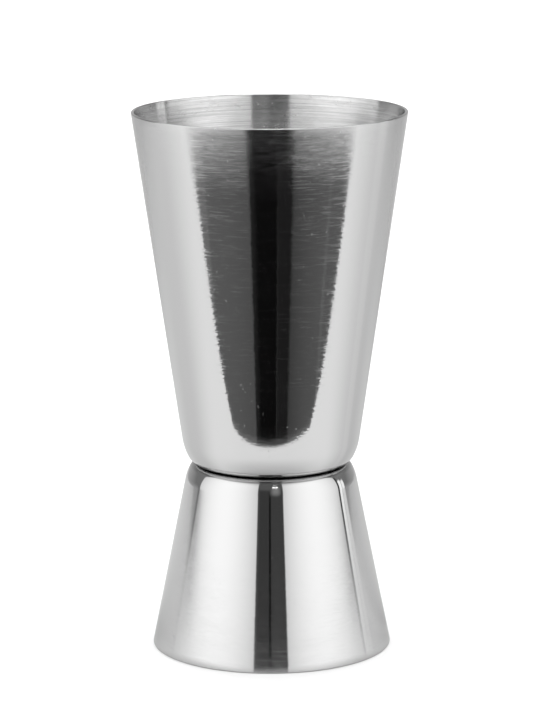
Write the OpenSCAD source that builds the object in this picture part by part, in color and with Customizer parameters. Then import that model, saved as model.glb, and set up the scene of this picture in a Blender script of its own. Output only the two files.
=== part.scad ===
// Double-ended cocktail jigger: two tapered cups, deep-drawn from stainless sheet, stand back to back
// and are spot welded floor to floor. It rests on the small cup's rim, at Z = 0, and its axis is Z.

/* [Large cup] */
// Outside diameter of the large cup's wall at the plane of its rim
large_rim_d = 43; // [38:0.5:60]
// Height of the large cup, from the joint between the floors up to its rim
large_h = 55.8; // [40:0.1:80]
// Outside diameter that the large cup's straight wall would have if it ran on down to the joint
large_foot_d = 26.8; // [25:0.1:34]
// Outside radius of the large cup's corner, where it leaves the wall
large_side_r = 8.3; // [4:0.1:10]
// Outside radius of the large cup's corner, where it meets the floor
large_floor_r = 2.5; // [1.2:0.1:4]
// Lean from upright at which the large cup's two corner radii meet, in degrees
large_corner_lean = 28; // [20:1:60]

/* [Small cup] */
// Outside diameter of the small cup's wall at the plane of its rim
small_rim_d = 37.8; // [32:0.1:50]
// Height of the small cup, from its rim up to the joint between the floors
small_h = 29.2; // [20:0.1:45]
// Outside diameter that the small cup's straight wall would have if it ran on up to the joint
small_foot_d = 26.1; // [24:0.1:32]
// Outside radius of the small cup's corner, where it leaves the wall
small_side_r = 6.9; // [3:0.1:9]
// Outside radius of the small cup's corner, where it meets the floor
small_floor_r = 1.1; // [1:0.05:4]
// Lean from upright at which the small cup's two corner radii meet, in degrees
small_corner_lean = 29.5; // [20:0.5:60]

/* [Sheet] */
// Thickness of the stainless sheet of both cups
sheet_t = 0.5; // [0.4:0.05:0.8]
// Radius that both edges of the trimmed rims are polished to
rim_edge_r = 0.15; // [0.05:0.01:0.19]

/* [Spot welds] */
// Diameter of the circle on which the welds stand
weld_circle_d = 11; // [8:0.5:13]
// Diameter of a weld nugget where the two floors meet
weld_d = 3.2; // [2:0.1:4]
// Depth that a nugget reaches into each floor
weld_reach = 0.27; // [0.15:0.01:0.28]
// Diameter of the dimple that the welding electrode leaves on each floor
dimple_d = 3.6; // [2:0.1:4.5]
// Depth of the electrode dimple
dimple_depth = 0.08; // [0.03:0.01:0.1]

/* [Hidden] */
// Segments of a full turn, and of each arc of a cup's section
$fn = 180;
arc_steps = 12;
// Direction of the first weld from the axis, in degrees from +X
first_weld_turn = 90;
weld_names = ["spot_weld_1", "spot_weld_2", "spot_weld_3"];

// Unit vector at an angle from +X
function heading(angle) = [cos(angle), sin(angle)];

// Points of an arc between two directions. With first = 1 it leaves out the point that the arc
// before it has ended on.
function arc(centre, r, from, to, first = 0) =
    [for (i = [first : arc_steps]) centre + r * heading(from + (to - from) * i / arc_steps)];

// Half section of a drawn cup standing on its floor: a flat floor, a corner of two tangent radii,
// and a straight leaning wall whose rim is cut level and has both edges rounded
module cup_section(rim_r, h, foot_r, side_r, floor_r, corner_lean) {
    wall_lean = atan((rim_r - foot_r) / h);

    // The corner's two centres, found from where the wall's line meets the floor's plane
    step = floor_r - side_r;
    wall_start_z = floor_r - step * sin(corner_lean) - side_r * sin(wall_lean);
    wall_start_x = foot_r + wall_start_z * tan(wall_lean);
    floor_edge_x = wall_start_x - side_r * cos(wall_lean) - step * cos(corner_lean);
    floor_c = [floor_edge_x, floor_r];
    side_c = floor_c + step * heading(-corner_lean);

    // The rim's two rounding centres, each one edge radius below the top and inside its wall face
    edge_z = h - rim_edge_r;
    outer_edge_x = rim_r - rim_edge_r * (1 + sin(wall_lean)) / cos(wall_lean);
    inner_edge_x = rim_r - (sheet_t - rim_edge_r * (1 - sin(wall_lean))) / cos(wall_lean);

    polygon(concat(
        [[0, 0]],
        arc(floor_c, floor_r, -90, -corner_lean),
        arc(side_c, side_r, -corner_lean, -wall_lean, first = 1),
        arc([outer_edge_x, edge_z], rim_edge_r, -wall_lean, 90),
        arc([inner_edge_x, edge_z], rim_edge_r, 90, 180 - wall_lean),
        arc(side_c, side_r - sheet_t, -wall_lean, -corner_lean),
        arc(floor_c, floor_r - sheet_t, -corner_lean, -90, first = 1),
        [[0, sheet_t]]
    ));
}

// Flat lens: the part that two equal balls share
module lens(d, half_t) {
    ball_r = (d * d / 4 + half_t * half_t) / (2 * half_t);
    intersection() {
        translate([0, 0, ball_r - half_t]) sphere(r = ball_r);
        translate([0, 0, half_t - ball_r]) sphere(r = ball_r);
    }
}

// Puts its children at one weld, on the joint between the floors
module at_weld(i) {
    rotate([0, 0, first_weld_turn + i * 360 / len(weld_names)])
        translate([weld_circle_d / 2, 0, small_h]) children();
}

// What the welds take out of a floor: the nugget's seat, and a dimple on the face turned away
// from the joint, which lies on the side given as 1 or -1
module weld_marks(side) {
    for (i = [0 : len(weld_names) - 1]) at_weld(i) {
        lens(weld_d, weld_reach);
        translate([0, 0, side * sheet_t]) lens(dimple_d, dimple_depth);
    }
}

module large_cup() {
    color("silver") difference() {
        translate([0, 0, small_h]) rotate_extrude()
            cup_section(large_rim_d / 2, large_h, large_foot_d / 2, large_side_r, large_floor_r,
                        large_corner_lean);
        weld_marks(1);
    }
}

module small_cup() {
    color("gainsboro") difference() {
        translate([0, 0, small_h]) mirror([0, 0, 1]) rotate_extrude()
            cup_section(small_rim_d / 2, small_h, small_foot_d / 2, small_side_r, small_floor_r,
                        small_corner_lean);
        weld_marks(-1);
    }
}

// Lens of fused metal, half in each floor
module spot_weld(i) {
    color("slategray") at_weld(i) lens(weld_d, weld_reach);
}

large_cup();
small_cup();
for (i = [0 : len(weld_names) - 1])
    spot_weld(i);
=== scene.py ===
"""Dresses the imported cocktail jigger: two drawn steel cups, the welds between them, and a pale studio.

All lengths are in metres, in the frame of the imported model. Azimuths are seen from above: 0 is towards
the camera, which is -Y, and 90 is towards +X.
"""

import math
from typing import NamedTuple

import bpy
import numpy as np
from mathutils import Matrix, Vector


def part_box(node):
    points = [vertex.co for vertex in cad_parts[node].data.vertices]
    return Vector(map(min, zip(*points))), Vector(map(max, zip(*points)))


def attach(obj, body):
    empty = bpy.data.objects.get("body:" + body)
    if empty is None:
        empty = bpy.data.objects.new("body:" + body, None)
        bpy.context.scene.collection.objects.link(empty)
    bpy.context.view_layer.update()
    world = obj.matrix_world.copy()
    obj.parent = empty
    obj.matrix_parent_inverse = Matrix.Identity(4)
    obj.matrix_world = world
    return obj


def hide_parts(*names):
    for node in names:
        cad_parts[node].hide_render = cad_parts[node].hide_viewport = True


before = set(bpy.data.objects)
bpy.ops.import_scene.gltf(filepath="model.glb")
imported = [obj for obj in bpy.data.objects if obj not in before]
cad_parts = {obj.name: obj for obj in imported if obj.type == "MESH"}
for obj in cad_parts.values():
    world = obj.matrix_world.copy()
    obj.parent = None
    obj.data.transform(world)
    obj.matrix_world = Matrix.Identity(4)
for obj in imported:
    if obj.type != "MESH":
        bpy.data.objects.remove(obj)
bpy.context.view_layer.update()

bl_info = {
    "name": "Cocktail jigger",
    "version": (1, 0, 0),
    "blender": (4, 5, 0),
    "location": "3D View > Sidebar > Jigger",
    "description": "Builds the steel cups of a cocktail jigger and a pale studio round them",
    "category": "Add Mesh",
}

MM = 0.001
WELD_NODES = sorted(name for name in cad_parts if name.startswith("spot_weld"))
LARGE_LOW, LARGE_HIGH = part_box("large_cup")
SMALL_LOW, SMALL_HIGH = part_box("small_cup")

# How finely the surfaces are cut: pieces of a full turn, and rows along each stretch of a section
TURNS = 300
WALL_ROW = 1.2 * MM
JOINT_FACE_ROW = 0.4 * MM
FLOOR_ROW = 0.2 * MM
SIDE_ARC_ROWS = 22
FLOOR_ARC_ROWS = 14
EDGE_ARC_ROWS = 7


def length(name, description, default):
    """A length property in metres."""
    return bpy.props.FloatProperty(
        name=name, description=description, default=default, min=0.0, unit="LENGTH", precision=6
    )


def angle(name, description, default):
    """An angle property in radians, given here in degrees."""
    return bpy.props.FloatProperty(
        name=name, description=description, default=math.radians(default), subtype="ANGLE"
    )


def share(name, description, default):
    """A property between 0 and 1."""
    return bpy.props.FloatProperty(
        name=name, description=description, default=default, min=0.0, max=1.0, subtype="FACTOR"
    )


def colour(name, description, default):
    """A colour property."""
    return bpy.props.FloatVectorProperty(
        name=name, description=description, default=default, min=0.0, max=1.0, subtype="COLOR"
    )


class LargeCupSettings(bpy.types.PropertyGroup):
    """Shape and finish of the large cup."""

    foot_d: length("Foot diameter", "Outside diameter of the wall's line at the joint", 26.8 * MM)
    side_r: length("Side radius", "Outside radius of the corner where it leaves the wall", 8.3 * MM)
    floor_r: length("Floor radius", "Outside radius of the corner where it meets the floor", 2.5 * MM)
    corner_lean: angle("Corner lean", "Lean from upright at which the two corner radii meet", 28)
    steel: colour("Steel", "Colour of the steel", (0.62, 0.62, 0.62))
    foot_roughness: share("Foot roughness", "Roughness of the polish where the wall meets its corner", 0.02)
    gloss_roughness: share("Gloss roughness", "Roughness of the polish where the satin starts", 0.06)
    rim_roughness: share("Rim roughness", "Roughness of the satin at the rim", 0.2)
    inner_roughness: share("Inner roughness", "Roughness inside", 0.24)
    crevice_roughness: share("Crevice roughness", "Roughness beside the joint", 0.06)
    brush_roughness: share("Brush roughness", "How much rougher the brushed streaks are", 0.055)
    dent_depth: length("Dent depth", "Depth of the brush's dents", 0.0084 * MM)
    foot_h: length("Foot height", "How far the best of the polish reaches from the joint", 7 * MM)
    satin_h: length("Satin height", "How far the satin reaches down from the rim", 10.5 * MM)


class SmallCupSettings(bpy.types.PropertyGroup):
    """Shape and finish of the small cup."""

    foot_d: length("Foot diameter", "Outside diameter of the wall's line at the joint", 26.1 * MM)
    side_r: length("Side radius", "Outside radius of the corner where it leaves the wall", 6.9 * MM)
    floor_r: length("Floor radius", "Outside radius of the corner where it meets the floor", 1.1 * MM)
    corner_lean: angle("Corner lean", "Lean from upright at which the two corner radii meet", 29.5)
    steel: colour("Steel", "Colour of the steel", (0.62, 0.62, 0.62))
    foot_roughness: share("Foot roughness", "Roughness of the polish where the wall meets its corner", 0.055)
    gloss_roughness: share("Gloss roughness", "Roughness of the polish where the satin starts", 0.095)
    rim_roughness: share("Rim roughness", "Roughness of the polish at the rim", 0.11)
    inner_roughness: share("Inner roughness", "Roughness inside", 0.24)
    crevice_roughness: share("Crevice roughness", "Roughness beside the joint", 0.12)
    brush_roughness: share("Brush roughness", "How much rougher the brushed streaks are", 0.025)
    dent_depth: length("Dent depth", "Depth of the brush's dents", 0.0026 * MM)
    foot_h: length("Foot height", "How far the corner reaches from the joint", 2.6 * MM)
    satin_h: length("Satin height", "How far the satin reaches from the rim", 3 * MM)


class SheetSettings(bpy.types.PropertyGroup):
    """The sheet that both cups are drawn from, and the marks of their welds."""

    sheet_t: length("Sheet thickness", "Thickness of the sheet", 0.5 * MM)
    edge_r: length("Edge radius", "Radius that both edges of the rims are polished to", 0.15 * MM)
    weld_circle_d: length("Weld circle", "Diameter of the circle on which the welds stand", 11 * MM)
    weld_d: length("Weld diameter", "Diameter of a weld nugget at the joint", 3.2 * MM)
    weld_reach: length("Weld reach", "Depth that a nugget reaches into each floor", 0.27 * MM)
    dimple_d: length("Dimple diameter", "Diameter of the electrode's dimple", 3.6 * MM)
    dimple_depth: length("Dimple depth", "Depth of the electrode's dimple", 0.08 * MM)
    first_weld: angle("First weld", "Direction of the first weld from +X", 90)
    weld_steel: colour("Weld steel", "Colour of the fused steel", (0.45, 0.44, 0.43))


class StageSettings(bpy.types.PropertyGroup):
    """Camera, floor and light."""

    camera_distance: length("Camera distance", "From the axis to the camera, level", 508.4 * MM)
    camera_height: length("Camera height", "Height of the camera above the floor", 150.15 * MM)
    camera_pitch: angle("Camera pitch", "How far the camera looks down", 11.62)
    camera_roll: angle("Camera roll", "How far the camera is turned about its own view", -0.245)
    lens: bpy.props.FloatProperty(
        name="Lens", description="Focal length on a 36 mm frame", default=165.1, unit="CAMERA"
    )
    table_front: length("Table front", "From the axis to the table's front edge", 58 * MM)
    table_nose: length("Table nose", "How much further forward the edge's middle lies", 17.5 * MM)
    table_nose_x: length("Nose side shift", "How far the middle lies towards +X", 0.7 * MM)
    table_nose_half: length("Nose half width", "Half the width of the edge's forward middle", 62 * MM)
    table_lead: length("Table lead", "How much further forward the edge's left end lies", 20 * MM)
    table_back: length("Table back", "From the axis to the table's back edge", 280 * MM)
    table_reach: length("Table reach", "How far the table reaches from the axis", 450 * MM)
    floor_reach: length("Floor reach", "How far the floor reaches from the axis", 4.0)
    floor_colour: colour("Floor colour", "Colour of the floor", (0.86, 0.86, 0.86))
    floor_light: bpy.props.FloatProperty(
        name="Floor light", description="Strength of the soft light on the floor", default=2.15
    )
    backdrop: bpy.props.FloatProperty(
        name="Backdrop", description="Brightness of the backdrop to the camera", default=1.05
    )


class JiggerSettings(bpy.types.PropertyGroup):
    """All settings of the jigger."""

    large_cup: bpy.props.PointerProperty(type=LargeCupSettings)
    small_cup: bpy.props.PointerProperty(type=SmallCupSettings)
    sheet: bpy.props.PointerProperty(type=SheetSettings)
    stage: bpy.props.PointerProperty(type=StageSettings)


def heading(angles):
    """Unit vectors (cos, sin) at the given angles from the section's level axis."""
    return np.stack([np.cos(angles), np.sin(angles)], axis=-1)


def arc(centre, radius, start, end, rows):
    """Points centre + radius * heading, with the heading going evenly from start to end."""
    return centre + radius * heading(np.linspace(start, end, rows + 1))


def line(start, end, spacing):
    """Points between start and end, both left out, evenly and no wider apart than spacing."""
    rows = max(2, math.ceil(math.dist(start, end) / spacing))
    steps = np.linspace(0, 1, rows + 1)[1:-1, None]
    return start + steps * (end - start)


def cup_section(cup, sheet, rim_r, height):
    """Half section of a drawn cup standing on its floor, as rows of (radius, height over the joint).

    It runs from the middle of the floor's joint face out, up the outer wall, over the rim, down the
    inner wall and back to the middle. The wall's line passes through (foot radius, 0) and leans so
    that the rim's outer edge, an arc of the edge radius, reaches rim_r. The corner is two tangent
    arcs: their centres lie on the line that leans by corner_lean. Returns the rows, and the number
    of the row at which the inside starts.
    """
    foot_r = cup.foot_d / 2
    edge = sheet.edge_r
    across = rim_r - edge - foot_r
    up = height - edge
    lean = math.atan2(across, up) + math.asin(edge / math.hypot(across, up))
    wall_rim_r = foot_r + height * math.tan(lean)
    step = cup.floor_r - cup.side_r
    wall_start_z = cup.floor_r - step * math.sin(cup.corner_lean) - cup.side_r * math.sin(lean)
    wall_start_r = foot_r + wall_start_z * math.tan(lean)
    floor_edge_r = wall_start_r - cup.side_r * math.cos(lean) - step * math.cos(cup.corner_lean)
    floor_c = np.array([floor_edge_r, cup.floor_r])
    side_c = floor_c + step * heading(-cup.corner_lean)
    outer_edge_c = np.array([wall_rim_r - edge * (1 + math.sin(lean)) / math.cos(lean), up])
    inner_shift = (sheet.sheet_t - edge * (1 - math.sin(lean))) / math.cos(lean)
    inner_edge_c = np.array([wall_rim_r - inner_shift, up])
    down, level = -math.pi / 2, math.pi / 2

    outside = [
        arc(floor_c, cup.floor_r, down, -cup.corner_lean, FLOOR_ARC_ROWS),
        arc(side_c, cup.side_r, -cup.corner_lean, -lean, SIDE_ARC_ROWS)[1:],
        arc(outer_edge_c, edge, -lean, level, EDGE_ARC_ROWS),
    ]
    inside = [
        arc(inner_edge_c, edge, level, math.pi - lean, EDGE_ARC_ROWS),
        arc(side_c, cup.side_r - sheet.sheet_t, -lean, -cup.corner_lean, SIDE_ARC_ROWS),
        arc(floor_c, cup.floor_r - sheet.sheet_t, -cup.corner_lean, down, FLOOR_ARC_ROWS)[1:],
    ]
    joint_middle = np.array([[0.0, 0.0]])
    floor_middle = np.array([[0.0, sheet.sheet_t]])
    parts = [
        joint_middle,
        line(joint_middle[0], outside[0][0], JOINT_FACE_ROW),
        *outside[:2],
        line(outside[1][-1], outside[2][0], WALL_ROW),
        outside[2],
        inside[0],
        line(inside[0][-1], inside[1][0], WALL_ROW),
        *inside[1:],
        line(inside[2][-1], floor_middle[0], FLOOR_ROW),
        floor_middle,
    ]
    inside_from = sum(len(part) for part in parts[:6])
    return np.concatenate(parts), inside_from


def weld_hollow(x, y, sheet, diameter, depth):
    """Depth of the ball-shaped hollows of the welds at the points (x, y).

    Each hollow is the cap of a ball with the given diameter and depth, so at a distance q from its
    middle it is sqrt(ball**2 - q**2) - (ball - depth) deep, and zero outside the cap.
    """
    ball = (diameter**2 / 4 + depth**2) / (2 * depth)
    turns = sheet.first_weld + np.arange(len(WELD_NODES)) * math.tau / len(WELD_NODES)
    middles = sheet.weld_circle_d / 2 * heading(turns)
    off = np.min(np.hypot(x[..., None] - middles[:, 0], y[..., None] - middles[:, 1]), axis=-1)
    cap = np.sqrt(np.maximum(ball**2 - off**2, 0)) - (ball - depth)
    return np.maximum(cap, 0)


def lathe_faces(rows, flip):
    """Corners of the faces of a lathed surface: a pole, rings of TURNS points, and a pole.

    Point number 0 is the first pole, ring k starts at 1 + k * TURNS, and the last point is the other
    pole. Each ring is joined to the next by quads, and the poles by fans of triangles.
    """
    rings = rows - 2
    here = np.arange(TURNS)
    after = (here + 1) % TURNS
    starts = 1 + np.arange(rings - 1)[:, None] * TURNS
    quads = np.stack(
        [starts + here, starts + after, starts + TURNS + after, starts + TURNS + here], axis=-1
    ).reshape(-1, 4)
    last_ring = 1 + (rings - 1) * TURNS
    far_pole = last_ring + TURNS
    fans = np.concatenate([
        np.stack([np.zeros(TURNS, int), 1 + after, 1 + here], axis=-1),
        np.stack([last_ring + here, last_ring + after, np.full(TURNS, far_pole)], axis=-1),
    ])
    if flip:
        quads = quads[:, ::-1]
        fans = fans[:, ::-1]
    return fans, quads


def build_cup(name, cup, sheet, rim_r, height, joint_z, upright):
    """Lathes a cup: at turn t a row (r, z) becomes (r cos t, r sin t, joint_z + z), or with minus z
    for a cup that hangs below the joint. The weld hollows are pressed into both faces of the floor.
    """
    section, inside_from = cup_section(cup, sheet, rim_r, height)
    radii, heights = section.T
    turns = np.arange(TURNS) * math.tau / TURNS
    x = radii[1:-1, None] * np.cos(turns)
    y = radii[1:-1, None] * np.sin(turns)
    z = np.repeat(heights[1:-1, None], TURNS, axis=1)
    seat = weld_hollow(x, y, sheet, sheet.weld_d, sheet.weld_reach)
    dimple = weld_hollow(x, y, sheet, sheet.dimple_d, sheet.dimple_depth)
    z = z + np.where(z == 0, seat, 0) - np.where(np.isclose(z, sheet.sheet_t, atol=1e-9), dimple, 0)
    side = 1 if upright else -1
    grid = np.stack([x, y, joint_z + side * z], axis=-1).reshape(-1, 3)
    poles = [[0, 0, joint_z + side * heights[row]] for row in (0, -1)]
    points = np.concatenate([poles[:1], grid, poles[1:]])
    fans, quads = lathe_faces(len(section), flip=upright)

    mesh = bpy.data.meshes.new(name)
    mesh.from_pydata(points.tolist(), [], fans.tolist() + quads.tolist())
    along = np.concatenate([[0], np.cumsum(np.hypot(*np.diff(section, axis=0).T))])
    inside = (np.arange(len(section)) >= inside_from).astype(float)
    for attribute_name, values in (("along", along), ("inside", inside)):
        spread = np.concatenate([values[:1], np.repeat(values[1:-1], TURNS), values[-1:]])
        mesh.attributes.new(attribute_name, "FLOAT", "POINT").data.foreach_set("value", spread)
    mesh.shade_smooth()
    mesh.update()
    piece = bpy.data.objects.new(name, mesh)
    bpy.context.scene.collection.objects.link(piece)
    return piece


def put(tree, socket, value):
    """Feeds a socket with another node's output, or sets it to a number, colour or vector."""
    if isinstance(value, bpy.types.NodeSocket):
        tree.links.new(value, socket)
    else:
        socket.default_value = value


def maths(tree, operation, *values):
    """Adds a Math node fed with the values, and returns its output."""
    node = tree.nodes.new("ShaderNodeMath")
    node.operation = operation
    for socket, value in zip(node.inputs, values):
        put(tree, socket, value)
    return node.outputs[0]


def ramp(tree, value, start, end, low=0.0, high=1.0, smooth=True):
    """Smooth or straight step of value from low at start to high at end."""
    node = tree.nodes.new("ShaderNodeMapRange")
    node.interpolation_type = "SMOOTHSTEP" if smooth else "LINEAR"
    for socket, given in zip(node.inputs, (value, start, end, low, high)):
        put(tree, socket, given)
    return node.outputs[0]


def vector(tree, x, y, z):
    """Adds a Combine XYZ node and returns its output."""
    node = tree.nodes.new("ShaderNodeCombineXYZ")
    for socket, value in zip(node.inputs, (x, y, z)):
        put(tree, socket, value)
    return node.outputs[0]


def split(tree, value):
    """Adds a Separate XYZ node and returns its three outputs."""
    node = tree.nodes.new("ShaderNodeSeparateXYZ")
    put(tree, node.inputs[0], value)
    return node.outputs


def vector_maths(tree, operation, *values):
    """Adds a Vector Math node fed with the values, and returns its vector."""
    node = tree.nodes.new("ShaderNodeVectorMath")
    node.operation = operation
    for socket, value in zip(node.inputs, values):
        put(tree, socket, value)
    return node.outputs["Vector"]


def object_position(tree):
    """Position on the object, in metres."""
    return tree.nodes.new("ShaderNodeTexCoord").outputs["Object"]


def attribute(tree, name):
    """Value of one of the mesh's attributes."""
    node = tree.nodes.new("ShaderNodeAttribute")
    node.attribute_name = name
    return node.outputs["Fac"]


def scaled(tree, value, factor):
    """A vector or colour times a factor."""
    result = vector_maths(tree, "SCALE", value)
    put(tree, result.node.inputs["Scale"], factor)
    return result


def noise(tree, where, detail, scale=1.0):
    """Adds a 3D noise texture and returns its value, about 0.5."""
    node = tree.nodes.new("ShaderNodeTexNoise")
    put(tree, node.inputs["Vector"], where)
    node.inputs["Scale"].default_value = scale
    node.inputs["Detail"].default_value = detail
    return node.outputs["Fac"]


def new_group(name, inputs, outputs):
    """Makes a shader node group. inputs maps each name to its default, a number or a vector."""
    tree = bpy.data.node_groups.new(name, "ShaderNodeTree")
    for socket_name, default in inputs.items():
        kind = "NodeSocketVector" if isinstance(default, tuple) else "NodeSocketFloat"
        socket = tree.interface.new_socket(name=socket_name, in_out="INPUT", socket_type=kind)
        socket.default_value = default
    for socket_name in outputs:
        tree.interface.new_socket(name=socket_name, in_out="OUTPUT", socket_type="NodeSocketFloat")
    return tree, tree.nodes.new("NodeGroupInput").outputs, tree.nodes.new("NodeGroupOutput").inputs


def use_group(tree, group, **values):
    """Places a group in a tree. A value's name is the input's, with underscores for spaces."""
    node = tree.nodes.new("ShaderNodeGroup")
    node.node_tree = group
    for name, value in values.items():
        put(tree, node.inputs[name.replace("_", " ").capitalize()], value)
    return node.outputs


def group_named(name, make):
    """The group of that name, made by make if there is none yet."""
    return bpy.data.node_groups.get(name) or make()


class Fade(NamedTuple):
    """A step of a value: low at start and high at end, where start may be the larger of the two."""

    start: float
    end: float
    low: float = 0.0
    high: float = 1.0


class Lay(NamedTuple):
    """A pattern that runs round the axis: its cells per radian, its cells per metre along the
    section, and the detail of its noise."""

    per_radian: float
    per_metre: float
    detail: float = 1.0


# The patterns of the turned finish, where ring lines start and are full, and where all are read
STREAKS = Lay(7.0, 5000.0)
LONG_STREAKS = Lay(1.6, 4200.0)
DASHES = Lay(20.0, 2600.0)
BANDS = Lay(2.0, 500.0, detail=2.0)
RINGS = Lay(0.6, 1300.0, detail=0.0)
RING_STEP = Fade(0.72, 0.84)
LAY_OFFSET = (0.37, 0.41, 0.0)


def lay_group():
    """The lay of a turned finish: streaks, dashes, wider bands and single ring lines round the axis.

    Round the axis a pattern is read at per_radian * (cos t, sin t), so it has no seam, and along the
    section at per_metre times the distance from the middle of the floor. LAY_OFFSET moves all of
    them off the noise's own grid, whose lines show as square marks at the front.
    """
    tree, given, result = new_group(
        "turned_lay",
        {"Position": (0.0, 0.0, 0.0), "Along": 0.0},
        ("Streaks", "Long streaks", "Dashes", "Bands", "Rings"),
    )
    flat = vector_maths(tree, "MULTIPLY", given["Position"], (1.0, 1.0, 0.0))
    round_axis = vector_maths(tree, "NORMALIZE", flat)

    def read(lay):
        """Reads the noise in a pattern's cells."""
        down = vector(tree, 0.0, 0.0, maths(tree, "MULTIPLY", given["Along"], lay.per_metre))
        cells = (lay.per_radian, lay.per_radian, 0.0)
        turn = vector_maths(tree, "MULTIPLY_ADD", round_axis, cells, LAY_OFFSET)
        return noise(tree, vector_maths(tree, "ADD", turn, down), lay.detail)

    put(tree, result["Streaks"], read(STREAKS))
    put(tree, result["Long streaks"], read(LONG_STREAKS))
    put(tree, result["Dashes"], read(DASHES))
    put(tree, result["Bands"], read(BANDS))
    put(tree, result["Rings"], ramp(tree, read(RINGS), *RING_STEP))
    return tree


# Where the hairlines' second pattern is read, away from the first, and how softly it lets them in
GATE_OFFSET = (31.0, 7.0, 19.0)
GATE_FADE = 0.05


def hairline_group():
    """Fine curved scratches: the places where a slow pattern crosses one half, kept only where a
    second pattern is high."""
    tree, given, result = new_group(
        "hairlines",
        {"Position": (0.0, 0.0, 0.0), "Cells": 45.0, "Width": 0.0015, "Gate": 0.56},
        ("Lines",),
    )
    where = scaled(tree, given["Position"], given["Cells"])
    slow = noise(tree, where, detail=1.0)
    gate = noise(tree, vector_maths(tree, "ADD", where, GATE_OFFSET), detail=1.0)
    off = maths(tree, "ABSOLUTE", maths(tree, "SUBTRACT", slow, 0.5))
    line_mask = ramp(tree, off, given["Width"], 0.0)
    gate_mask = ramp(tree, gate, given["Gate"], maths(tree, "ADD", given["Gate"], GATE_FADE))
    put(tree, result["Lines"], maths(tree, "MULTIPLY", line_mask, gate_mask))
    return tree


# Cells per metre of the scratches along x, y and z, and of the specks, and where both patterns show
SCRATCH_CELLS = (2200.0, 600.0, 260.0)
SCRATCH_SLANT = 0.25
SCRATCH_STEP = Fade(0.8, 0.86)
SPECK_CELLS = 2300.0
SPECK_STEP = Fade(0.8, 0.84)


def wear_group():
    """Short slanting scratches and small specks: the places where narrow or round patterns are high."""
    tree, given, result = new_group("wear_marks", {"Position": (0.0, 0.0, 0.0)}, ("Scratches", "Specks"))
    x, y, z = split(tree, given["Position"])
    slant = maths(tree, "MULTIPLY_ADD", z, SCRATCH_SLANT, x)
    narrow = vector_maths(tree, "MULTIPLY", vector(tree, slant, y, z), SCRATCH_CELLS)
    put(tree, result["Scratches"], ramp(tree, noise(tree, narrow, detail=0.0), *SCRATCH_STEP))
    round_marks = noise(tree, given["Position"], detail=0.0, scale=SPECK_CELLS)
    put(tree, result["Specks"], ramp(tree, round_marks, *SPECK_STEP))
    return tree


# How far from the joint each effect on the steel starts and has its full share
JOINT_SHADE = Fade(0.5 * MM, 0.0)
CREVICE = Fade(1.0 * MM, 0.4 * MM)
SETTLED = Fade(0.7 * MM, 2.2 * MM)
BRUSH_REACH = Fade(7 * MM, 18 * MM, 0.1, 1.0)
RELIEF_REACH = Fade(8 * MM, 30 * MM, 0.05, 1.0)
DENT_REACH = Fade(2 * MM, 22 * MM)

# The steel's colour beside the joint, darkened there as painted shade, and its grain and lift inside, as
# shares of its own colour
CREVICE_SHADE = 0.85
INNER_GRAIN = 0.8
INNER_LIFT = 0.14

# What the marks add to the roughness, and the share of it by which bands and dashes change it
HAIRLINE_ROUGHNESS = 0.05
SCRATCH_ROUGHNESS = 0.03
SPECK_ROUGHNESS = 0.08
RING_ROUGHNESS = 0.02
MOTTLE = 0.5
BRUSH_STEP = Fade(0.45, 0.75)
LEAST_ROUGHNESS = 0.015

# Depth of the streaks' relief, and the share of the dents that is left inside
RELIEF_DEPTH = 0.0014 * MM
INNER_DENTS = 0.35

# The quarter turn that spreads the highlights across the lay, and the tint at grazing angles
ACROSS_THE_LAY = 0.25
GRAZING_TINT = (0.86, 0.86, 0.86, 1.0)


class Place(NamedTuple):
    """Sockets that tell where on a cup a point lies. off_joint is the height above or below the
    joint, and inside and outside are 1 or 0."""

    position: bpy.types.NodeSocket
    height: bpy.types.NodeSocket
    off_joint: bpy.types.NodeSocket
    inside: bpy.types.NodeSocket
    outside: bpy.types.NodeSocket


def cup_place(tree, joint_z):
    """Adds the nodes of a cup's Place."""
    position = object_position(tree)
    height = split(tree, position)[2]
    off_joint = maths(tree, "ABSOLUTE", maths(tree, "SUBTRACT", height, joint_z))
    inside = attribute(tree, "inside")
    outside = maths(tree, "SUBTRACT", 1.0, inside)
    return Place(position, height, off_joint, inside, outside)


def steel_colour(tree, cup, place, finish):
    """The steel's colour. Outside it is darker right beside the joint: painted shade in the crevice between
    the cups. Inside it is lighter, and the long streaks show as a grain of lighter and darker lines."""
    # Painted shade: outside, right beside the joint, the steel is darkened by CREVICE_SHADE
    beside = maths(tree, "MULTIPLY", ramp(tree, place.off_joint, *JOINT_SHADE), place.outside)
    painted_shade_and_grain = ramp(tree, beside, 0.0, 1.0, 1.0, CREVICE_SHADE, smooth=False)
    grain = maths(tree, "SUBTRACT", finish["Long streaks"], 0.5)
    grain = maths(tree, "MULTIPLY", grain, place.inside)
    painted_shade_and_grain = maths(tree, "MULTIPLY_ADD", grain, INNER_GRAIN, painted_shade_and_grain)
    painted_shade_and_grain = maths(tree, "MULTIPLY_ADD", place.inside, INNER_LIFT, painted_shade_and_grain)
    return scaled(tree, tuple(cup.steel), painted_shade_and_grain)


def polish_roughness(tree, cup, place, rim_z, joint_z):
    """Roughness of the polish alone.

    Outside it grows evenly from the foot value to the gloss value, and over the last satin_h before
    the rim on to the rim value. It has a value of its own right beside the joint, and one inside.
    """
    satin_start = rim_z + math.copysign(cup.satin_h, joint_z - rim_z)
    satin = ramp(tree, place.height, satin_start, rim_z, cup.gloss_roughness, cup.rim_roughness, False)
    better = ramp(tree, place.off_joint, cup.foot_h, abs(satin_start - joint_z),
                  cup.foot_roughness - cup.gloss_roughness, 0.0, False)
    outer = maths(tree, "ADD", satin, better)
    crevice = ramp(tree, place.off_joint, *CREVICE)
    outer = maths(tree, "MULTIPLY_ADD", crevice, cup.crevice_roughness - cup.foot_roughness, outer)
    return ramp(tree, place.inside, 0.0, 1.0, outer, cup.inner_roughness, smooth=False)


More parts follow.
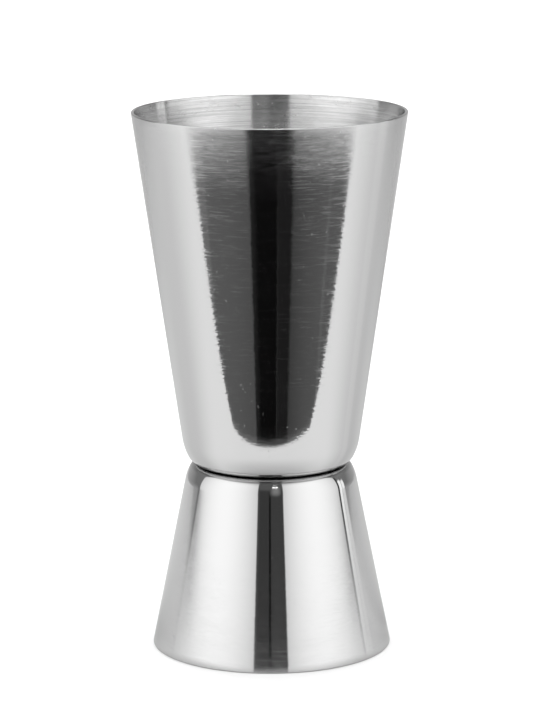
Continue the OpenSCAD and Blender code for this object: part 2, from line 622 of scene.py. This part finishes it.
def worn_roughness(tree, cup, place, finish, polish):
    """Roughness of the polish with what changes it.

    Bands and dashes make it rougher and smoother by a share of itself. Brushed streaks are rougher
    outside, the more so away from the joint. Of the marks, hairlines, scratches and specks are
    rougher outside, and ring lines everywhere. Right beside the joint only the marks are left.
    """
    mottled = maths(tree, "SUBTRACT", maths(tree, "ADD", finish["Bands"], finish["Dashes"]), 1.0)
    uneven = maths(tree, "MULTIPLY", maths(tree, "MULTIPLY", polish, mottled), MOTTLE)
    brushed = maths(tree, "MULTIPLY", ramp(tree, finish["Streaks"], *BRUSH_STEP), place.outside)
    brushed = maths(tree, "MULTIPLY", brushed, ramp(tree, place.off_joint, *BRUSH_REACH))
    uneven = maths(tree, "MULTIPLY_ADD", brushed, cup.brush_roughness, uneven)
    uneven = maths(tree, "MULTIPLY", uneven, ramp(tree, place.off_joint, *SETTLED))

    hairlines = use_group(tree, group_named("hairlines", hairline_group), position=place.position)
    wear = use_group(tree, group_named("wear_marks", wear_group), position=place.position)
    marks = maths(tree, "MULTIPLY", hairlines["Lines"], HAIRLINE_ROUGHNESS)
    marks = maths(tree, "MULTIPLY_ADD", wear["Scratches"], SCRATCH_ROUGHNESS, marks)
    marks = maths(tree, "MULTIPLY_ADD", wear["Specks"], SPECK_ROUGHNESS, marks)
    marks = maths(tree, "MULTIPLY", marks, place.outside)
    marks = maths(tree, "MULTIPLY_ADD", finish["Rings"], RING_ROUGHNESS, marks)
    rough = maths(tree, "ADD", polish, maths(tree, "ADD", marks, uneven))
    return maths(tree, "MAXIMUM", rough, LEAST_ROUGHNESS)


def brush_relief(tree, cup, place, finish):
    """Height of the brush's marks, in units of the cup's dent depth: the streaks times their own
    depth, plus the dashes, which are weaker inside. Both fade towards the joint."""
    relief = maths(tree, "MULTIPLY", finish["Streaks"], ramp(tree, place.off_joint, *RELIEF_REACH))
    dents = maths(tree, "MULTIPLY", ramp(tree, place.off_joint, *DENT_REACH), finish["Dashes"])
    dents = maths(tree, "MULTIPLY", dents, ramp(tree, place.inside, 0.0, 1.0, 1.0, INNER_DENTS, False))
    return maths(tree, "MULTIPLY_ADD", relief, RELIEF_DEPTH / cup.dent_depth, dents)


def steel_material(name, cup, rim_z, joint_z):
    """Drawn steel, polished with a fine lay round the axis. Highlights spread across the lay."""
    material = bpy.data.materials.new(name)
    material.use_nodes = True
    tree = material.node_tree
    shader = tree.nodes["Principled BSDF"]
    shader.inputs["Metallic"].default_value = 1.0
    shader.inputs["Anisotropic"].default_value = 1.0
    shader.inputs["Anisotropic Rotation"].default_value = ACROSS_THE_LAY
    shader.inputs["Specular Tint"].default_value = GRAZING_TINT
    tangent = tree.nodes.new("ShaderNodeTangent")
    tangent.direction_type = "RADIAL"
    tangent.axis = "Z"
    tree.links.new(tangent.outputs[0], shader.inputs["Tangent"])

    place = cup_place(tree, joint_z)
    finish = use_group(tree, group_named("turned_lay", lay_group), position=place.position,
                       along=attribute(tree, "along"))
    put(tree, shader.inputs["Base Color"], steel_colour(tree, cup, place, finish))
    polish = polish_roughness(tree, cup, place, rim_z, joint_z)
    put(tree, shader.inputs["Roughness"], worn_roughness(tree, cup, place, finish, polish))
    bump = tree.nodes.new("ShaderNodeBump")
    bump.inputs["Distance"].default_value = cup.dent_depth
    put(tree, bump.inputs["Height"], brush_relief(tree, cup, place, finish))
    tree.links.new(bump.outputs[0], shader.inputs["Normal"])
    return material


# The grain of the fused steel: cells per metre, detail, the roughness it gives and its depth
WELD_CELLS = 4000.0
WELD_DETAIL = 3.0
WELD_ROUGHNESS = Fade(0.3, 0.7, 0.4, 0.6)
WELD_GRAIN_DEPTH = 0.02 * MM


def weld_material(sheet):
    """Fused steel: dull and grainy."""
    material = bpy.data.materials.new("fused_weld_steel")
    material.use_nodes = True
    tree = material.node_tree
    shader = tree.nodes["Principled BSDF"]
    shader.inputs["Metallic"].default_value = 1.0
    shader.inputs["Base Color"].default_value = (*sheet.weld_steel, 1.0)
    grain = noise(tree, object_position(tree), detail=WELD_DETAIL, scale=WELD_CELLS)
    put(tree, shader.inputs["Roughness"], ramp(tree, grain, *WELD_ROUGHNESS))
    bump = tree.nodes.new("ShaderNodeBump")
    bump.inputs["Distance"].default_value = WELD_GRAIN_DEPTH
    put(tree, bump.inputs["Height"], grain)
    tree.links.new(bump.outputs[0], shader.inputs["Normal"])
    return material


class Card(NamedTuple):
    """A bright or dim board in the surroundings, in degrees of azimuth and elevation as the jigger
    sees it. It is dimmer towards its sides by the falloff, and each of its edges fades over the
    given angle to both sides."""

    azimuth: float
    half_width: float
    low: float
    high: float
    level: float
    falloff: float = 0.0
    side_edge: float = 0.8
    top_edge: float = 2.0
    low_edge: float = 2.0


CARDS = {
    "left softbox": Card(-63.2, 46.2, -0.6, 47, 1.52, falloff=0.36, side_edge=1, top_edge=9, low_edge=1.5),
    "right softbox": Card(57.7, 42.5, -0.6, 47, 1.5, falloff=0.36, side_edge=1, top_edge=9, low_edge=1.5),
    "first right strip": Card(106, 2.6, -1, 15.5, 1.45, side_edge=0.3, low_edge=0.4),
    "second right strip": Card(112, 2.8, -1, 12.5, 1.35, side_edge=0.3, low_edge=0.4),
    "left glow": Card(-63.2, 45.5, -0.6, 60, 0.7, falloff=0.36, side_edge=2, top_edge=17),
    "right glow": Card(57.7, 42, -0.6, 60, 0.7, falloff=0.36, side_edge=2, top_edge=17),
    "small lamp": Card(5.2, 3.6, 35.4, 36.5, 6, side_edge=0.5, top_edge=0.5, low_edge=0.5),
    "lamp glow": Card(6, 6, 15, 40, 0.3, side_edge=5, top_edge=8, low_edge=10),
    "back light": Card(180, 64, -6, 22, 0.6, falloff=0.7, side_edge=6, top_edge=24),
    "back horizon": Card(180, 69, -8, 3, 0.5, side_edge=5, top_edge=10),
    "back wall": Card(180, 77, -3, 40, 0.24, side_edge=2, top_edge=15),
    "back sky": Card(180, 42, 35, 95, 2.0, side_edge=10, top_edge=1, low_edge=8),
    "ceiling": Card(0, 180, 76, 95, 3.2, top_edge=1, low_edge=4),
    "ceiling edge": Card(0, 180, 50, 95, 0.09, top_edge=1, low_edge=10),
    "front left wall": Card(-16, 13.4, -3, 60, 0.058, side_edge=1, top_edge=10),
    "front right wall": Card(16, 16.6, -3, 60, 0.066, side_edge=1, top_edge=10),
    "front upper wall": Card(0, 20, 26, 60, 0.13, side_edge=5, top_edge=10, low_edge=8),
    "glow left of the gap": Card(-19, 5, -3, 60, 0.13, side_edge=8, top_edge=10),
    "glow right of the gap": Card(18, 5, -3, 60, 0.11, side_edge=6, top_edge=10),
    "ground left": Card(-75, 56.6, -95, -2, 0.148, falloff=0.3, side_edge=1.5),
    "tail of the ground left": Card(-22, 7, -95, -2, 0.03, side_edge=7),
    "band in the ground left": Card(-72, 11, -95, -2, 0.19, side_edge=1),
    "ground right": Card(77, 56.3, -95, -2, 0.138, falloff=0.55, side_edge=3),
    "band in the ground right": Card(57.5, 4, -95, -2, 0.16, side_edge=4),
    "ground middle": Card(14, 7.5, -95, -2, 0.016, side_edge=1),
    "ground back": Card(180, 70, -95, -3.2, 0.72, falloff=0.15, side_edge=2, top_edge=1.8),
    "line in the ground": Card(7.3, 0.4, -95, -25.5, 0.04, side_edge=0.2),
    "far left": Card(-75, 55, -17, -3.9, 1.4, falloff=0.5, top_edge=0.4, low_edge=4),
    "far right": Card(75, 55, -17, -3.9, 1.4, falloff=0.5, side_edge=3, top_edge=0.4, low_edge=4),
    "table left": Card(-65, 45, -4.5, -1, 0.7, side_edge=4, top_edge=0.4),
    "table right": Card(66, 50, -4.5, -1, 0.7, top_edge=0.4),
    "strip in the table": Card(108.8, 6, -4.5, -1, 0.95, side_edge=1, top_edge=0.4),
}

# Brightness where no card is, and how the cards stand further apart higher up, as in studio_world
DARKEST = 0.005
SPREAD = 0.0035
SPREAD_END = 120


def card_group():
    """Brightness of one card: its level, times a smooth step at each of its four edges, times
    1 - falloff * (off / half width)**2, where off is how far the azimuth is from its middle."""
    defaults = Card(0, 30, 0, 45, 1)._asdict()
    inputs = {name.replace("_", " ").capitalize(): float(value) for name, value in defaults.items()}
    tree, given, result = new_group("studio_card", {"Way": 0.0, "Elevation": 0.0, **inputs}, ("Level",))
    turned = maths(tree, "SUBTRACT", given["Way"], given["Azimuth"])
    off = maths(tree, "ABSOLUTE", maths(tree, "WRAP", turned, 180.0, -180.0))
    half = given["Half width"]
    shares = (
        ramp(tree, off, maths(tree, "ADD", half, given["Side edge"]),
             maths(tree, "SUBTRACT", half, given["Side edge"])),
        ramp(tree, given["Elevation"], maths(tree, "ADD", given["High"], given["Top edge"]),
             maths(tree, "SUBTRACT", given["High"], given["Top edge"])),
        ramp(tree, given["Elevation"], maths(tree, "SUBTRACT", given["Low"], given["Low edge"]),
             maths(tree, "ADD", given["Low"], given["Low edge"])),
    )
    rate = maths(tree, "DIVIDE", off, half)
    drop = maths(tree, "MULTIPLY", maths(tree, "MULTIPLY", rate, rate), given["Falloff"])
    level = maths(tree, "MULTIPLY", given["Level"], maths(tree, "SUBTRACT", 1.0, drop))
    for part in shares:
        level = maths(tree, "MULTIPLY", level, part)
    put(tree, result["Level"], level)
    return tree


def azimuth(tree, x, y):
    """Degrees round from the front towards +X: atan2(x, -y)."""
    return maths(tree, "DEGREES", maths(tree, "ARCTAN2", x, maths(tree, "MULTIPLY", y, -1.0)))


def studio_world(stage):
    """The surroundings: the brightest of the cards in each direction, and never less than DARKEST,
    with a plain backdrop for the camera.

    Elevation is asin(z) of the direction. The cards stand further apart higher up: they are read at
    azimuth * (1 - SPREAD * elevation * (1 - |azimuth| / SPREAD_END)), with neither factor below 0.
    """
    world = bpy.data.worlds.new("studio")
    world.use_nodes = True
    tree = world.node_tree
    x, y, z = split(tree, tree.nodes.new("ShaderNodeTexCoord").outputs["Generated"])
    way = azimuth(tree, x, y)
    elevation = maths(tree, "DEGREES", maths(tree, "ARCSINE", z))
    spread = ramp(tree, maths(tree, "ABSOLUTE", way), 0.0, SPREAD_END, SPREAD, 0.0, smooth=False)
    drift = maths(tree, "MULTIPLY", spread, maths(tree, "MAXIMUM", elevation, 0.0))
    way = maths(tree, "MULTIPLY", way, maths(tree, "SUBTRACT", 1.0, drift))
    group = card_group()
    brightest = DARKEST
    for name, card in CARDS.items():
        level = use_group(tree, group, way=way, elevation=elevation, **card._asdict())["Level"]
        level.node.label = name
        brightest = maths(tree, "MAXIMUM", brightest, level)
    ray = tree.nodes.new("ShaderNodeLightPath")
    mix = tree.nodes.new("ShaderNodeMix")
    put(tree, mix.inputs["Factor"], ray.outputs["Is Camera Ray"])
    put(tree, mix.inputs["A"], brightest)
    put(tree, mix.inputs["B"], stage.backdrop)
    background = tree.nodes["Background"]
    put(tree, background.inputs["Strength"], mix.outputs["Result"])
    background.inputs["Color"].default_value = (1.0, 1.0, 1.0, 1.0)
    bpy.context.scene.world = world


# Painted shade on the mirrored floor, by degrees round from the front: it dims to the sides, more so on the
# right, is lighter again behind them, and dimmest at the back
SIDE_DIM = Fade(70.0, 108.0, 0.82, 0.63)
SHADY_SIDE = Fade(-100.0, 100.0, 0.0, -0.06)
SHADY_SIDE_STEP = Fade(98.0, 125.0)
REAR_LIFT = Fade(120.0, 143.0, 0.0, 0.05)
REAR_DIM = Fade(146.0, 176.0, 0.0, -0.12)

# The light strip's azimuth, and the painted light it adds to the mirrored floor by degrees off it
STRIP_AZIMUTH = 109.0
STRIP_LIFT = Fade(8.0, 3.0, 0.0, 0.04)

# How dim the floor is at the jigger's foot, a painted shadow, by degrees round from the front, between which
# distances that fades, and how the floor dims with the distance behind the jigger, painted shade too
FOOT_DIM = Fade(20.0, 100.0, 0.7, 0.97)
FOOT_REACH = (12 * MM, 65 * MM)
REAR_DISTANCE_DIM = Fade(100 * MM, 260 * MM, 1.0, 0.84)

# The table's front edge: where each end starts to lie further forward and where it is there in
# full, the right end's share of the left end's lead, and the faint lip before the edge
LEFT_LEAD = (-46 * MM, -190 * MM)
RIGHT_LEAD = (110 * MM, 210 * MM)
RIGHT_LEAD_SHARE = 0.3
TABLE_EDGE_SOFTNESS = 0.3 * MM
TABLE_LIP = Fade(-2.8 * MM, -1.96 * MM, 0.0, 0.06)

# Shares of their distance over which the table's back edge and its reach fade, to both sides
BACK_EDGE_FADE = 0.2
REACH_FADE = 0.1


def floor_shade(tree, x, y, distance):
    """Brightness of the mirrored floor, as a share of its colour, painted light and shade that only the
    steel's reflections show: what the azimuth leaves of it, times what the painted shadow leaves close to
    the jigger, times what is left far behind it."""
    way = azimuth(tree, x, y)
    turn = maths(tree, "ABSOLUTE", way)
    shady = ramp(tree, way, *SHADY_SIDE, smooth=False)
    off_strip = maths(tree, "ABSOLUTE", maths(tree, "SUBTRACT", way, STRIP_AZIMUTH))
    dim = ramp(tree, turn, *SIDE_DIM)
    dim = maths(tree, "MULTIPLY_ADD", ramp(tree, turn, *SHADY_SIDE_STEP), shady, dim)
    dim = maths(tree, "ADD", dim, ramp(tree, turn, *REAR_LIFT))
    dim = maths(tree, "ADD", dim, ramp(tree, turn, *REAR_DIM))
    dim = maths(tree, "ADD", dim, ramp(tree, off_strip, *STRIP_LIFT))
    near = ramp(tree, distance, *FOOT_REACH, ramp(tree, turn, *FOOT_DIM), 1.0)
    far = ramp(tree, y, *REAR_DISTANCE_DIM)
    return maths(tree, "MULTIPLY", dim, maths(tree, "MULTIPLY", near, far))


def table_share(tree, stage, x, y, distance):
    """1 on the table that the steel mirrors, and 0 past its edges.

    The front edge lies at y = -(table_front + nose + lead). The nose is table_nose * (1 - off**2),
    not below 0, where off is (x - table_nose_x) / table_nose_half. The lead grows evenly towards
    both ends. Before the edge lies a faint lip. The table also ends at its back edge and its reach.
    """
    off = maths(tree, "DIVIDE", maths(tree, "SUBTRACT", x, stage.table_nose_x), stage.table_nose_half)
    arch = maths(tree, "SUBTRACT", 1.0, maths(tree, "MULTIPLY", off, off))
    nose = maths(tree, "MULTIPLY", maths(tree, "MAXIMUM", arch, 0.0), stage.table_nose)
    left_lead = ramp(tree, x, *LEFT_LEAD, 0.0, stage.table_lead, smooth=False)
    right_lead = ramp(tree, x, *RIGHT_LEAD, 0.0, stage.table_lead * RIGHT_LEAD_SHARE, smooth=False)
    lead = maths(tree, "ADD", left_lead, right_lead)
    edge = maths(tree, "ADD", maths(tree, "ADD", nose, lead), stage.table_front)
    past_edge = maths(tree, "ADD", y, edge)
    on_front = ramp(tree, past_edge, -TABLE_EDGE_SOFTNESS, TABLE_EDGE_SOFTNESS)
    on_front = maths(tree, "MAXIMUM", on_front, ramp(tree, past_edge, *TABLE_LIP))
    back = stage.table_back
    reach = stage.table_reach
    on_back = ramp(tree, y, back * (1 + BACK_EDGE_FADE), back * (1 - BACK_EDGE_FADE))
    on_reach = ramp(tree, distance, reach * (1 + REACH_FADE), reach * (1 - REACH_FADE))
    return maths(tree, "MULTIPLY", on_front, maths(tree, "MULTIPLY", on_back, on_reach))


def floor_paint(stage):
    """Plain pale paint for the floor. Only where the steel mirrors it is it dimmed by floor_shade, painted
    shade and light, and cut off round the table by table_share."""
    paint = bpy.data.materials.new("pale_floor")
    paint.use_nodes = True
    tree = paint.node_tree
    shader = tree.nodes["Principled BSDF"]
    shader.inputs["Roughness"].default_value = 1.0
    shader.inputs["Specular IOR Level"].default_value = 0.0
    mirrored = tree.nodes.new("ShaderNodeLightPath").outputs["Is Glossy Ray"]
    x, y, _ = split(tree, object_position(tree))
    distance = maths(tree, "SQRT", maths(tree, "MULTIPLY_ADD", x, x, maths(tree, "MULTIPLY", y, y)))
    # Painted shade and light: glossy rays see the floor's colour scaled by floor_shade, the camera sees it
    # plain
    shade = ramp(tree, mirrored, 0.0, 1.0, 1.0, floor_shade(tree, x, y, distance), smooth=False)
    put(tree, shader.inputs["Base Color"], scaled(tree, tuple(stage.floor_colour), shade))
    table = table_share(tree, stage, x, y, distance)
    put(tree, shader.inputs["Alpha"], ramp(tree, mirrored, 0.0, 1.0, 1.0, table, smooth=False))
    return paint


def studio_floor(stage):
    """A plain pale floor under the jigger's foot."""
    reach = stage.floor_reach
    corners = [(-reach, -reach, 0), (reach, -reach, 0), (reach, reach, 0), (-reach, reach, 0)]
    mesh = bpy.data.meshes.new("floor")
    mesh.from_pydata(corners, [], [(0, 1, 2, 3)])
    mesh.materials.append(floor_paint(stage))
    board = bpy.data.objects.new("floor", mesh)
    bpy.context.scene.collection.objects.link(board)


# Angle over which the overhead light is spread
FLOOR_LIGHT_ANGLE = math.radians(100)


def floor_light(stage):
    """Soft light from overhead that the steel doesn't mirror."""
    light = bpy.data.lights.new("floor_light", "SUN")
    light.energy = stage.floor_light
    light.angle = FLOOR_LIGHT_ANGLE
    lamp = bpy.data.objects.new("floor_light", light)
    lamp.visible_glossy = False
    bpy.context.scene.collection.objects.link(lamp)


# Width of the frame that the lens is given for, in millimetres, and the shift as a share of it
SENSOR_WIDTH = 36
CAMERA_SHIFT = -0.0008


def studio_camera(stage):
    """The camera looks along +Y and down by the pitch, is rolled a little and shifted a little."""
    data = bpy.data.cameras.new("camera")
    data.lens = stage.lens
    data.sensor_width = SENSOR_WIDTH
    data.shift_x = CAMERA_SHIFT
    camera = bpy.data.objects.new("camera", data)
    camera.location = (0, -stage.camera_distance, stage.camera_height)
    tilt = Matrix.Rotation(math.pi / 2 - stage.camera_pitch, 3, "X")
    roll = Matrix.Rotation(stage.camera_roll, 3, "Z")
    camera.rotation_euler = (tilt @ roll).to_euler()
    bpy.context.scene.collection.objects.link(camera)
    bpy.context.scene.camera = camera


class JIGGER_OT_stage(bpy.types.Operator):
    """Makes the camera, the floor and the studio's light"""

    bl_idname = "jigger.stage"
    bl_label = "Build the stage"

    def execute(self, context):
        stage = context.scene.jigger.stage
        studio_camera(stage)
        studio_floor(stage)
        floor_light(stage)
        studio_world(stage)
        context.scene.view_settings.view_transform = "Standard"
        return {"FINISHED"}


class JIGGER_OT_large_cup(bpy.types.Operator):
    """Makes the large cup, which opens upwards"""

    bl_idname = "jigger.large_cup"
    bl_label = "Build the large cup"

    def execute(self, context):
        settings = context.scene.jigger
        cup = settings.large_cup
        height = LARGE_HIGH.z - LARGE_LOW.z
        rim_r = min(LARGE_HIGH.x, LARGE_HIGH.y)
        piece = build_cup("large_cup_drawn", cup, settings.sheet, rim_r, height, LARGE_LOW.z, True)
        steel = steel_material("satin_cup_steel", cup, LARGE_HIGH.z, LARGE_LOW.z)
        piece.data.materials.append(steel)
        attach(piece, "root")
        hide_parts("large_cup")
        return {"FINISHED"}


class JIGGER_OT_small_cup(bpy.types.Operator):
    """Makes the small cup, which opens downwards and carries the jigger"""

    bl_idname = "jigger.small_cup"
    bl_label = "Build the small cup"

    def execute(self, context):
        settings = context.scene.jigger
        cup = settings.small_cup
        height = SMALL_HIGH.z - SMALL_LOW.z
        rim_r = min(SMALL_HIGH.x, SMALL_HIGH.y)
        piece = build_cup("small_cup_drawn", cup, settings.sheet, rim_r, height, SMALL_HIGH.z, False)
        steel = steel_material("polished_cup_steel", cup, SMALL_LOW.z, SMALL_HIGH.z)
        piece.data.materials.append(steel)
        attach(piece, "root")
        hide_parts("small_cup")
        return {"FINISHED"}


class JIGGER_OT_spot_welds(bpy.types.Operator):
    """Gives the weld nuggets between the floors their dull steel"""

    bl_idname = "jigger.spot_welds"
    bl_label = "Finish the spot welds"

    def execute(self, context):
        material = weld_material(context.scene.jigger.sheet)
        for name in WELD_NODES:
            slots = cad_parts[name].data.materials
            slots.clear()
            slots.append(material)
        return {"FINISHED"}


class JIGGER_PT_panel(bpy.types.Panel):
    """Lists the jigger's sizes and its building steps"""

    bl_label = "Cocktail jigger"
    bl_idname = "JIGGER_PT_panel"
    bl_space_type = "VIEW_3D"
    bl_region_type = "UI"
    bl_category = "Jigger"

    def draw(self, context):
        settings = context.scene.jigger
        for group, operator in (
            (settings.stage, JIGGER_OT_stage),
            (settings.large_cup, JIGGER_OT_large_cup),
            (settings.small_cup, JIGGER_OT_small_cup),
            (settings.sheet, JIGGER_OT_spot_welds),
        ):
            box = self.layout.box()
            for name in group.bl_rna.properties.keys():
                if name not in ("rna_type", "name"):
                    box.prop(group, name)
            box.operator(operator.bl_idname)


CLASSES = (
    LargeCupSettings, SmallCupSettings, SheetSettings, StageSettings, JiggerSettings,
    JIGGER_OT_stage, JIGGER_OT_large_cup, JIGGER_OT_small_cup, JIGGER_OT_spot_welds, JIGGER_PT_panel,
)


def register():
    """Registers the add-on's classes and its settings."""
    for cls in CLASSES:
        bpy.utils.register_class(cls)
    bpy.types.Scene.jigger = bpy.props.PointerProperty(type=JiggerSettings)


def unregister():
    """Takes the settings and the classes away again."""
    del bpy.types.Scene.jigger
    for cls in reversed(CLASSES):
        bpy.utils.unregister_class(cls)


def main():
    """Builds everything in order."""
    register()
    bpy.ops.jigger.stage()
    bpy.ops.jigger.large_cup()
    bpy.ops.jigger.small_cup()
    bpy.ops.jigger.spot_welds()


if __name__ == "__main__":
    main()
